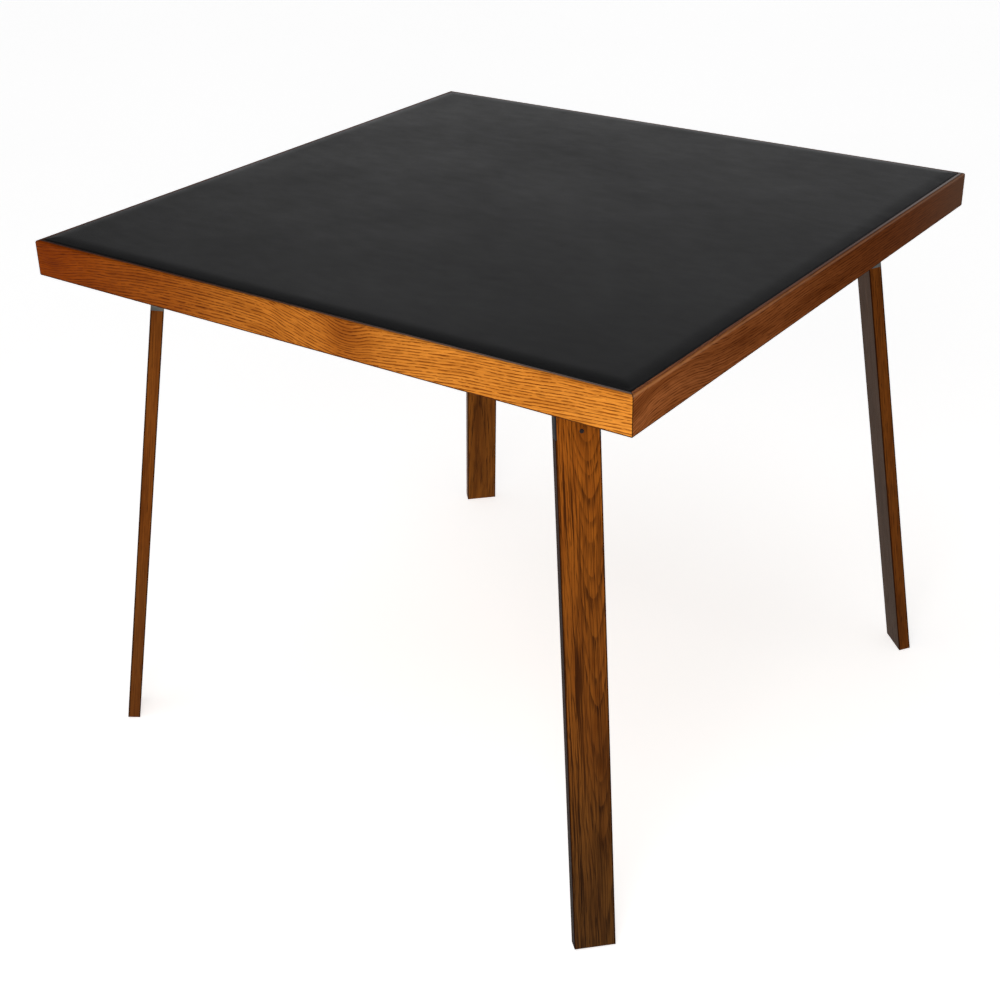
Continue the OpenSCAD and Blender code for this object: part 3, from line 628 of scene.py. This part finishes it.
def make_cover():
    """The vinyl: one sheet over the foam, down the board's edge and turned under it, with real thickness."""
    half, top = COVER_HALF, PAD_TOP
    lines = pad_lines(half)
    n = len(lines)
    verts, faces, index = [], [], {}
    edge_drop = 0.0036
    for j, y in enumerate(lines):
        for i, x in enumerate(lines):
            d = max(abs(x), abs(y))
            rho = 0.0024 * (1 - float(ramp01(half - d, 0.0, 0.012)))
            px, py = ring_place(x, y, d, rho, half)
            z = pad_height(x, y, half, top, edge_drop)
            index[i, j] = len(verts)
            verts.append((px, py, z))
    for j in range(n - 1):
        for i in range(n - 1):
            faces.append((index[i, j], index[i + 1, j], index[i + 1, j + 1], index[i, j + 1]))
    ring = ([(i, 0) for i in range(n - 1)] + [(n - 1, j) for j in range(n - 1)]
            + [(i, n - 1) for i in range(n - 1, 0, -1)] + [(0, j) for j in range(n - 1, 0, -1)])
    rows = [(0.0, 0.7271), (0.0, 0.7255), (0.0, 0.7235), (0.0, 0.7210), (0.0, 0.7185), (0.0, 0.7174), (0.00025, 0.7167), (0.0008, 0.71630),
            (0.0016, 0.7162), (0.0035, 0.7162), (0.0065, 0.7162), (0.0100, 0.7162), (0.0135, 0.7162), (0.0165, 0.7162), (0.0195, 0.7162),
            (0.0225, 0.7162), (0.0250, 0.7162), (0.0257, 0.71625)]
    last = [index[p] for p in ring]
    for inset, z in rows:
        d = half - inset
        scale = d / half
        now = []
        for i, j in ring:
            x, y = lines[i] * scale, lines[j] * scale
            dd = max(abs(x), abs(y))
            px, py = ring_place(x, y, dd, 0.0024 if inset < 0.003 else 0.001, half)
            zz = z
            if inset > 0.004:
                along = abs(y) if abs(x) > abs(y) else abs(x)
                near = math.cos(2 * math.pi * along / 0.05)
                edge = float(ramp01(inset, 0.010, 0.0257))
                zz += 0.0 if near > 0 else 0.00012 * near * edge
                inward = 0.0007 * (0.5 - 0.5 * near) * edge + 0.0005 * edge * noise.noise(Vector((x * 60, y * 60, 4.0)))
                k = 1 - inward / d
                px, py = px * k, py * k
            now.append(len(verts))
            verts.append((px, py, zz))
        m = len(ring)
        for k in range(m):
            faces.append((last[k], now[k], now[(k + 1) % m], last[(k + 1) % m]))
        last = now
    o = new_object("pad_cover", verts, faces)
    s = o.modifiers.new("thickness", "SOLIDIFY")
    s.thickness, s.offset, s.use_even_offset = 0.0008, -1.0, True
    dg = bpy.context.evaluated_depsgraph_get()
    me = bpy.data.meshes.new_from_object(o.evaluated_get(dg))
    o.modifiers.clear()
    o.data = me
    face_out(o)
    o.data.polygons.foreach_set("use_smooth", [True] * len(o.data.polygons))
    return o


def make_foam():
    """The foam slab under the vinyl, with its top edge pressed round."""
    half, low = 0.4238, 0.7261
    lines = pad_lines(half)
    n = len(lines)
    verts, faces, index = [], [], {}
    for j, y in enumerate(lines):
        for i, x in enumerate(lines):
            d = max(abs(x), abs(y))
            px, py = ring_place(x, y, d, 0.0022 * (1 - float(ramp01(half - d, 0.0, 0.012))), half)
            z = max(low + 0.0003, pad_height(x, y, half, PAD_TOP - 0.00092, 0.0040))
            index[i, j] = len(verts)
            verts.append((px, py, z))
    under = len(verts)
    for k in range(under):
        verts.append((verts[k][0], verts[k][1], low))
    for j in range(n - 1):
        for i in range(n - 1):
            q = (index[i, j], index[i + 1, j], index[i + 1, j + 1], index[i, j + 1])
            faces.append(q)
            faces.append(tuple(under + a for a in reversed(q)))
    ring = ([(i, 0) for i in range(n - 1)] + [(n - 1, j) for j in range(n - 1)]
            + [(i, n - 1) for i in range(n - 1, 0, -1)] + [(0, j) for j in range(n - 1, 0, -1)])
    ids = [index[p] for p in ring]
    m = len(ids)
    for k in range(m):
        faces.append((ids[k], under + ids[k], under + ids[(k + 1) % m], ids[(k + 1) % m]))
    o = new_object("pad_foam", verts, faces)
    face_out(o)
    return o


# ---------------------------------------------------------------- screws
def corner_matrix(a):
    return Matrix.Rotation(math.radians(a), 4, "Z")


def brace_screw_places():
    """Frames of the screws that join a brace's ends to the rails; z runs along the screw."""
    inner = (HALF - 0.019) * math.sqrt(2)
    t = (inner - (PIVOT_R + 0.020) - 0.085) / 2
    zmid = ((PAD_LOW - 0.0001) + (RIM_BOTTOM + 0.002)) / 2
    for a in CORNERS.values():
        for s in (-1, 1):
            yield (corner_matrix(a) @ Matrix.Translation((PIVOT_R + 0.020 + t, s * (0.085 + t), zmid))
                   @ Matrix.Rotation(math.radians(45 * s), 4, "Z") @ Matrix.Translation((-0.016, 0, 0))
                   @ Matrix.Rotation(math.radians(90), 4, "Y"))


def panel_screw_places():
    for a in CORNERS.values():
        for y in (-0.045, 0.045):
            yield corner_matrix(a) @ Matrix.Translation((PIVOT_R + 0.026, y, BOARD_LOW - 0.014))


def plate_screw_places():
    for a in CORNERS.values():
        for x in (PIVOT_R - 0.022, PIVOT_R - 0.003):
            for s in (-1, 1):
                yield corner_matrix(a) @ Matrix.Translation((x, -SHIFT + s * 0.0345, BOARD_LOW - 0.002))


def flange_screw_places():
    for c in CORNERS:
        for s in (-1, 1):
            yield (leg_matrix(c) @ Matrix.Translation((LEG_T / 2 + 0.0006, s * 0.0345, -0.003))
                   @ Matrix.Rotation(math.radians(90), 4, "Y"))


def leg_screw_places(corner):
    for s, y in ((0.0738, 0.004), (0.038, -0.004)):
        yield (leg_matrix(corner) @ Matrix.Translation((-LEG_T / 2, y, -s)) @ Matrix.Rotation(math.radians(90), 4, "Y"))


def lathe(profile, sides=40):
    """A closed turned solid about z; profile is (radius, height) from the top's middle to the bottom's."""
    verts, faces, rings = [], [], []
    for r, z in profile:
        if r < 1e-9:
            rings.append([len(verts)])
            verts.append((0, 0, z))
        else:
            rings.append(list(range(len(verts), len(verts) + sides)))
            verts += [(r * math.cos(2 * math.pi * k / sides), r * math.sin(2 * math.pi * k / sides), z) for k in range(sides)]
    for p, q in zip(rings, rings[1:]):
        for k in range(sides):
            a, b = (p[k % len(p)], p[(k + 1) % len(p)]), (q[k % len(q)], q[(k + 1) % len(q)])
            f = [a[0], b[0], b[1], a[1]]
            f = [x for i, x in enumerate(f) if x not in f[:i]]
            if len(f) > 2:
                faces.append(f)
    return verts, faces


def cross_cut(r, depth, top):
    """A tapered cross, the shape of the driver that the screw takes; z = top is the head's face, and it goes down from there."""
    arm, w = r * 0.54, r * 0.115
    def outline(k):
        a, b = arm * k, w * (0.6 + 0.4 * k)
        return [(a, -b), (a, b), (b * 1.25, b * 1.25), (b, a), (-b, a), (-b * 1.25, b * 1.25), (-a, b), (-a, -b), (-b * 1.25, -b * 1.25),
                (-b, -a), (b, -a), (b * 1.25, -b * 1.25)]
    verts, n = [], 12
    for k, z in ((1.0, top - depth * 0.6), (1.0, top), (0.30, top + depth)):
        verts += [(x, y, z) for x, y in outline(k)]
    faces = [list(range(n))[::-1]]
    for layer in (0, 1):
        for i in range(n):
            j = (i + 1) % n
            faces.append([layer * n + i, layer * n + j, (layer + 1) * n + j, (layer + 1) * n + i])
    faces.append(list(range(2 * n, 3 * n)))
    return verts, faces


def screw_mesh(head_r, head_h, shank_r, length):
    """A wood or machine screw with a domed head and a cross recess. Its head is below z = 0 and its shank above."""
    h = head_h
    prof = [(0.0, -h), (head_r * 0.30, -h * 0.995), (head_r * 0.55, -h * 0.93), (head_r * 0.75, -h * 0.80), (head_r * 0.90, -h * 0.60),
            (head_r * 0.98, -h * 0.36), (head_r, -h * 0.16), (head_r * 0.985, 0.0), (shank_r, 0.0), (shank_r * 0.98, 0.0006)]
    turns = int((length - 0.004) / 0.0014)
    for k in range(turns):
        z = 0.001 + k * 0.0014
        prof += [(shank_r * 0.76, z), (shank_r * 0.98, z + 0.0006), (shank_r * 0.76, z + 0.0011)]
    prof += [(shank_r * 0.7, length - 0.0016), (0.0004, length - 0.0001), (0.0, length)]
    v, f = lathe(prof, 36)
    body = new_object("screw_body", v, f)
    face_out(body)
    v, f = cross_cut(head_r, h * 0.75, -h)
    cut = new_object("screw_cut", v, f)
    face_out(cut)
    b = body.modifiers.new("recess", "BOOLEAN")
    b.operation, b.object, b.solver = "DIFFERENCE", cut, "EXACT"
    dg = bpy.context.evaluated_depsgraph_get()
    me = bpy.data.meshes.new_from_object(body.evaluated_get(dg))
    bpy.data.objects.remove(body)
    bpy.data.objects.remove(cut)
    return me


def place_all(name, me, places, body, node, mat, spin=0.7):
    """Copies of a small part at each place, as one piece."""
    bm = bmesh.new()
    for k, m in enumerate(places):
        part = me.copy()
        part.transform(m @ Matrix.Rotation(spin * (k * k + 1), 4, "Z"))
        bm.from_mesh(part)
        bpy.data.meshes.remove(part)
    out = bpy.data.meshes.new(name)
    bm.to_mesh(out)
    bm.free()
    o = bpy.data.objects.new(name, out)
    scene.collection.objects.link(o)
    o.data.materials.clear()
    o.data.materials.append(mat)
    out.polygons.foreach_set("use_smooth", [True] * len(out.polygons))
    out.set_sharp_from_angle(angle=math.radians(38))
    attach(o, body)
    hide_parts(node)
    return o


# ---------------------------------------------------------------- stage
def make_stage():
    v = [(-14, -14, 0), (14, -14, 0), (14, 14, 0), (-14, 14, 0)]
    floor = new_object("floor", v, [(0, 1, 2, 3)], smooth=False)
    floor.data.materials.append(floor_material())

    w = bpy.data.worlds.new("studio")
    scene.world = w
    w.use_nodes = True
    t = w.node_tree
    t.nodes.clear()
    out = t.nodes.new("ShaderNodeOutputWorld")
    bg = t.nodes.new("ShaderNodeBackground")
    co = t.nodes.new("ShaderNodeTexCoord")
    sep = t.nodes.new("ShaderNodeSeparateXYZ")
    ramp = t.nodes.new("ShaderNodeValToRGB")
    t.links.new(co.outputs["Generated"], sep.inputs[0])
    t.links.new(sep.outputs[2], ramp.inputs[0])
    side = t.nodes.new("ShaderNodeMapRange")
    side.interpolation_type = "SMOOTHSTEP"
    for k, v in (("From Min", -0.95), ("From Max", -0.60), ("To Min", 0.15), ("To Max", 1.0)):
        side.inputs[k].default_value = v
    t.links.new(sep.outputs[0], side.inputs["Value"])
    dim = t.nodes.new("ShaderNodeVectorMath")
    dim.operation = "SCALE"
    t.links.new(ramp.outputs["Color"], dim.inputs[0])
    t.links.new(side.outputs[0], dim.inputs["Scale"])
    t.links.new(dim.outputs[0], bg.inputs["Color"])
    t.links.new(bg.outputs[0], out.inputs[0])
    r = ramp.color_ramp
    r.interpolation = "EASE"
    stops = [(0.0, 0.90), (0.30, 0.88), (0.40, 0.58), (0.50, 0.20), (0.60, 0.07), (1.0, 0.06)]
    while len(r.elements) < len(stops):
        r.elements.new(0.5)
    for e, (p, c) in zip(r.elements, stops):
        e.position = p
        e.color = (c, c, c * 1.01, 1)
    bg.inputs["Strength"].default_value = 0.8

    def sun(name, toward, strength, angle, colour=(1, 1, 1)):
        d = bpy.data.lights.new(name, "SUN")
        d.energy, d.angle, d.color = strength, math.radians(angle), colour
        o = bpy.data.objects.new(name, d)
        scene.collection.objects.link(o)
        o.rotation_mode = "QUATERNION"
        o.rotation_quaternion = Vector(toward).to_track_quat("-Z", "Y")

    def area(name, at, to, size, power, colour=(1, 1, 1)):
        d = bpy.data.lights.new(name, "AREA")
        d.shape, d.size, d.energy, d.color = "DISK", size, power, colour
        o = bpy.data.objects.new(name, d)
        scene.collection.objects.link(o)
        o.location = at
        o.rotation_mode = "QUATERNION"
        o.rotation_quaternion = (Vector(to) - Vector(at)).to_track_quat("-Z", "Y")

    sun("top", (0.10, 0.25, -1.0), 0.6, 50)
    area("key", (0.85, -1.75, 1.55), (0.25, -0.3, 0.65), 1.1, 13, (1.0, 0.98, 0.95))
    scene.view_settings.view_transform = "Standard"
    scene.view_settings.look = "None"


# ---------------------------------------------------------------- build
make_camera()
woods = make_woods()
for name, mat in woods.items():
    wear(name, mat)

m_board = plywood()
wear("panel_board", m_board)
m_vinyl = vinyl()
m_foam = foam()
m_zinc = steel("zinc_plate", (0.72, 0.70, 0.62), (0.50, 0.47, 0.38), 0.30, spangle=0.15)
m_hinge = steel("hinge_steel", (0.30, 0.31, 0.31), (0.20, 0.21, 0.21), 0.44, spangle=0.25)
# the front-right bracket is painted darker there: painted shade
m_bracket = steel("bracket_steel", (0.125, 0.130, 0.120), (0.070, 0.074, 0.076), 0.50, spangle=0.2,
                  metal=0.5, dull=0.85, Specular_IOR_Level=0.1, Specular_Tint=(0.25, 0.26, 0.28, 1.0))
m_spring = steel("spring_steel", (0.40, 0.39, 0.40), (0.26, 0.24, 0.25), 0.30)
m_bolt = steel("bolt_steel", (0.62, 0.62, 0.60), (0.42, 0.42, 0.40), 0.28)
m_nut = steel("dark_nut", (0.030, 0.022, 0.022), (0.018, 0.014, 0.014), 0.50, metal=0.5, Specular_IOR_Level=0.1)
m_rubber = rubber()

wear("cover_staples", m_zinc)
wear("pivot_bolts", m_bolt)
wear("pivot_nuts", m_bolt)
wear("spring_washers", m_spring)
wear("catch_rivets", m_bolt)
wear("leg_bumpers", m_rubber)
for c in CORNERS:
    wear("hinge_base_" + c, m_hinge)
    wear("catch_spring_" + c, m_spring)
    wear("leg_bracket_" + c, m_bracket)
    wear("barrel_nuts_" + c, m_nut)

cover = make_cover()
cover.data.materials.append(m_vinyl)
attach(cover, "top")
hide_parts("vinyl_cover")

slab = make_foam()
slab.data.materials.append(m_foam)
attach(slab, "top")
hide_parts("foam_pad")

big = screw_mesh(0.0042, 0.0024, 0.0020, 0.0295)
place_all("brace_screw_set", big, brace_screw_places(), "top", "brace_screws", m_zinc)
mid = screw_mesh(0.0042, 0.0024, 0.0020, 0.0205)
place_all("panel_screw_set", mid, panel_screw_places(), "top", "panel_screws", m_zinc)
small = screw_mesh(0.0034, 0.0020, 0.00175, 0.0085)
place_all("plate_screw_set", small, plate_screw_places(), "top", "base_plate_screws", m_zinc)
flange = screw_mesh(0.0034, 0.0020, 0.00175, 0.0150)
place_all("flange_screw_set", flange, flange_screw_places(), "top", "base_flange_screws", m_zinc)
machine = screw_mesh(0.0040, 0.0017, 0.0016, 0.0130)
for c in CORNERS:
    place_all("leg_screw_set_" + c, machine, leg_screw_places(c), LEG_BODY[c], "leg_screws_" + c, m_bolt)

for name in ("rail_front", "rail_right", "rail_back", "rail_left"):
    soften(name, 0.00035, 2)
for c in CORNERS:
    soften("leg_" + c, 0.0007, 3)
    soften("leg_bracket_" + c, 0.0004, 2)
    soften("hinge_base_" + c, 0.0003, 2)
    soften("catch_spring_" + c, 0.0002, 2)
    soften("barrel_nuts_" + c, 0.0002, 2)

make_stage()
